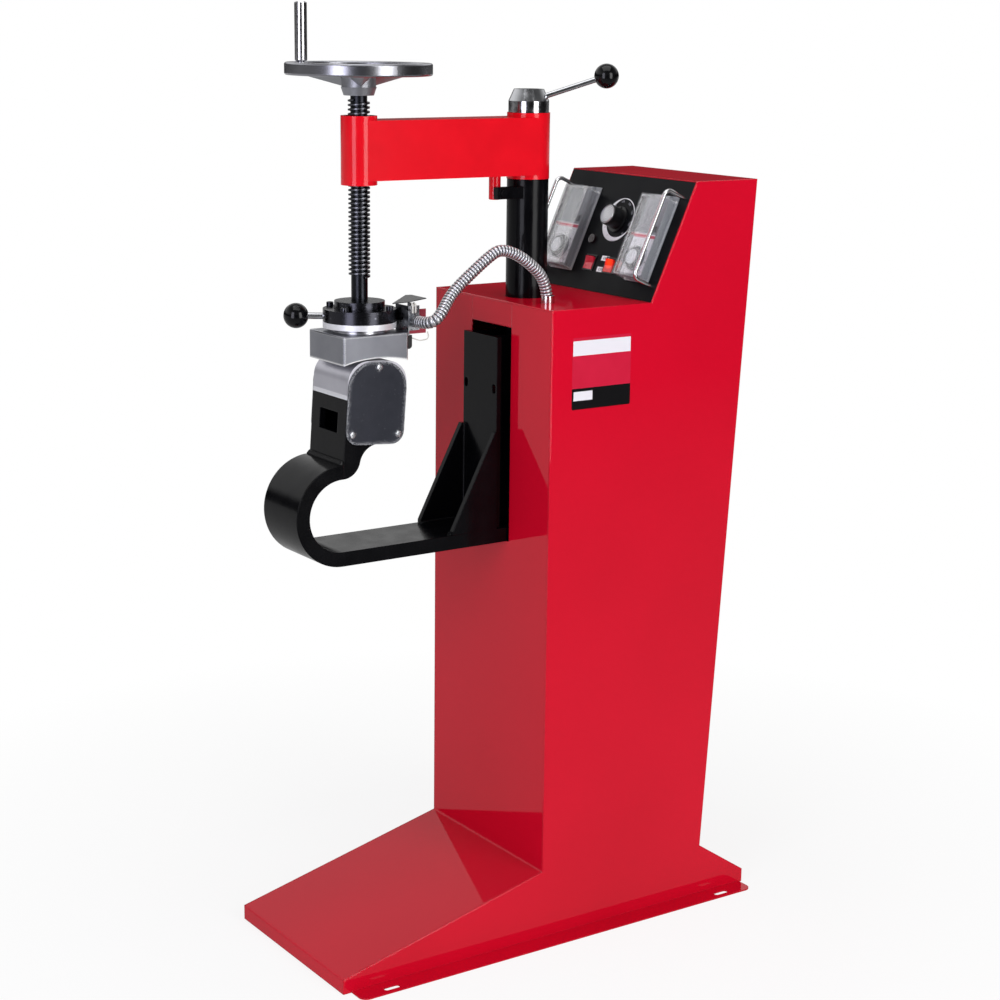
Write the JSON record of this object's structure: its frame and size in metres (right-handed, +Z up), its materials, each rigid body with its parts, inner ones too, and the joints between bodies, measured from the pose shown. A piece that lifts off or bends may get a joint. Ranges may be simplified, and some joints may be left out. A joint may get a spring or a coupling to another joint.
{
  "type": "tyre vulcanizing machine",
  "caption": "floor-standing tyre vulcanizing press: sheet cabinet with sloping console, column with swing arm and hand screw, C-arm and two heated platens",
  "frame": {"origin": "on the floor, on the axis of the column", "axes": "+Z up, -Y to the front where the platens stand, +X to the operator's right as seen from the front"},
  "size_m": [0.364, 0.7369, 1.3483],
  "materials": {
    "red_enamel": "gloss red enamel on steel sheet",
    "red_casting_paint": "gloss red paint on cast steel",
    "black_powder_coat": "black powder coat",
    "black_panel": "satin black panel",
    "black_oxide": "black oxide on turned steel",
    "turned_steel": "bright turned steel",
    "polished_steel": "polished bright",
    "cast_aluminium": "satin aluminium",
    "grey_cover_paint": "dark grey paint, scratched",
    "galvanised_sheet": "galvanised",
    "zinc_screw": "zinc plated",
    "phenolic_ball": "gloss black phenolic",
    "knob_plastic": "black knob",
    "grey_timer_plastic": "grey timer housing",
    "light_knob_plastic": "light grey knob",
    "clear_cover": "clear moulded cover",
    "red_switch_plastic": "red rocker",
    "orange_switch_plastic": "lit red rocker",
    "lamp_plastic": "pilot lamp",
    "gland_plastic": "black cable gland",
    "brown_insulator": "dark red phenolic sheet",
    "wire_sleeve": "pale sleeved wire",
    "conduit_steel": "bright interlocked strip"
  },
  "bodies": {
    "root": {"bracket_channel": "black_powder_coat", "c_arm_bar": "black_powder_coat", "case_screws": "zinc_screw", "column": "black_powder_coat", "conduit_first": "conduit_steel", "console_top": "red_enamel", "control_panel": "black_panel", "floor_plate": "black_powder_coat", "front_sheet": "red_enamel", "guard_handle_left": "polished_steel", "guard_handle_right": "polished_steel", "lock_washer": "polished_steel", "lower_heater": "polished_steel", "lower_platen": "cast_aluminium", "lower_post": "black_powder_coat", "mains_gland": "gland_plastic", "pilot_lamp": "lamp_plastic", "rear_sheet": "red_enamel", "shelf_ferrule": "polished_steel", "shelf_plate": "red_enamel", "side_cover_left": "grey_cover_paint", "side_cover_right": "grey_cover_paint", "side_panel_left": "red_enamel", "side_panel_right": "red_enamel", "slot_cover": "red_enamel", "switch_frame_left": "gland_plastic", "switch_frame_right": "gland_plastic", "timer_body_left": "grey_timer_plastic", "timer_body_right": "grey_timer_plastic"},
    "arm": {"swing_arm": "red_casting_paint", "screw_nut": "turned_steel", "conduit_second": "conduit_steel"},
    "lock": {"lock_nut": "polished_steel", "lock_lever": "polished_steel", "lock_ball": "phenolic_ball"},
    "press_head": {"thrust_housing": "black_oxide"},
    "screw": {"lead_screw": "black_oxide", "handwheel": "polished_steel", "crank_pin": "turned_steel"},
    "crank_grip": {"crank_sleeve": "phenolic_ball"},
    "platen": {"clamp_ring": "black_oxide", "ring_screws": "black_oxide", "swivel_plate": "cast_aluminium", "upper_platen": "cast_aluminium", "upper_heater": "black_powder_coat", "platen_lever": "polished_steel", "platen_ball": "phenolic_ball", "terminal_bracket": "galvanised_sheet", "heat_shield": "black_oxide", "insulator_plate": "brown_insulator", "conduit_connector": "galvanised_sheet", "lead_wires": "wire_sleeve", "conduit_third": "conduit_steel"},
    "timer_lid_left": {"timer_cover_left": "clear_cover"},
    "timer_lid_right": {"timer_cover_right": "clear_cover"},
    "timer_dial_left": {"timer_knob_left": "light_knob_plastic"},
    "timer_dial_right": {"timer_knob_right": "light_knob_plastic"},
    "temperature_dial": {"temperature_knob": "knob_plastic"},
    "switch_left": {"rocker_left": "red_switch_plastic"},
    "switch_right": {"rocker_right": "orange_switch_plastic"}
  },
  "joints": [
    {"name": "arm_swing", "type": "hinge", "parent": "root", "child": "arm", "pos_m": [0, 0, 1.15], "axis": [0, 0, 1], "range_deg": [-35, 0], "deforming": ["conduit_first"]},
    {"name": "lock_turn", "type": "hinge", "parent": "root", "child": "lock", "pos_m": [0, 0, 1.215], "axis": [0, 0, 1], "range_deg": [0, 90]},
    {"name": "screw_feed", "type": "slide", "parent": "arm", "child": "press_head", "axis": [0, 0, 1], "range_m": [0, 0.12], "deforming": ["conduit_second"]},
    {"name": "screw_spin", "type": "hinge", "parent": "press_head", "child": "screw", "pos_m": [0, -0.28, 1.1], "axis": [0, 0, 1], "range_deg": [0, 7200]},
    {"name": "crank_spin", "type": "hinge", "parent": "screw", "child": "crank_grip", "pos_m": [-0.07045, -0.32933, 1.3], "axis": [0, 0, 1], "continuous": true},
    {"name": "platen_swivel", "type": "hinge", "parent": "press_head", "child": "platen", "pos_m": [0, -0.28, 0.92], "axis": [0, 0, 1], "range_deg": [-12, 12], "deforming": ["conduit_third"]},
    {"name": "timer_lid_left_swing", "type": "hinge", "parent": "root", "child": "timer_lid_left", "pos_m": [-0.087, 0.17438, 1.07937], "axis": [-1, 0, 0], "range_deg": [0, 100]},
    {"name": "timer_dial_left_turn", "type": "hinge", "parent": "root", "child": "timer_dial_left", "pos_m": [-0.087, 0.11902, 0.99525], "axis": [0, -0.91, 0.4146], "range_deg": [-300, 0]},
    {"name": "timer_lid_right_swing", "type": "hinge", "parent": "root", "child": "timer_lid_right", "pos_m": [0.099, 0.17438, 1.07937], "axis": [-1, 0, 0], "range_deg": [0, 100]},
    {"name": "timer_dial_right_turn", "type": "hinge", "parent": "root", "child": "timer_dial_right", "pos_m": [0.099, 0.11902, 0.99525], "axis": [0, -0.91, 0.4146], "range_deg": [-300, 0]},
    {"name": "temperature_turn", "type": "hinge", "parent": "root", "child": "temperature_dial", "pos_m": [0.006, 0.15217, 1.04389], "axis": [0, -0.91, 0.4146], "range_deg": [-270, 0]},
    {"name": "switch_left_rock", "type": "hinge", "parent": "root", "child": "switch_left", "pos_m": [-0.0225, 0.13547, 0.97347], "axis": [1, 0, 0], "range_deg": [-14, 0]},
    {"name": "switch_right_rock", "type": "hinge", "parent": "root", "child": "switch_right", "pos_m": [0.0265, 0.13547, 0.97347], "axis": [1, 0, 0], "range_deg": [-14, 0]}
  ],
  "couplings": [
    {"joint": "screw_feed", "follows": "screw_spin", "m_per_rad": 0.00095493}
  ]
}
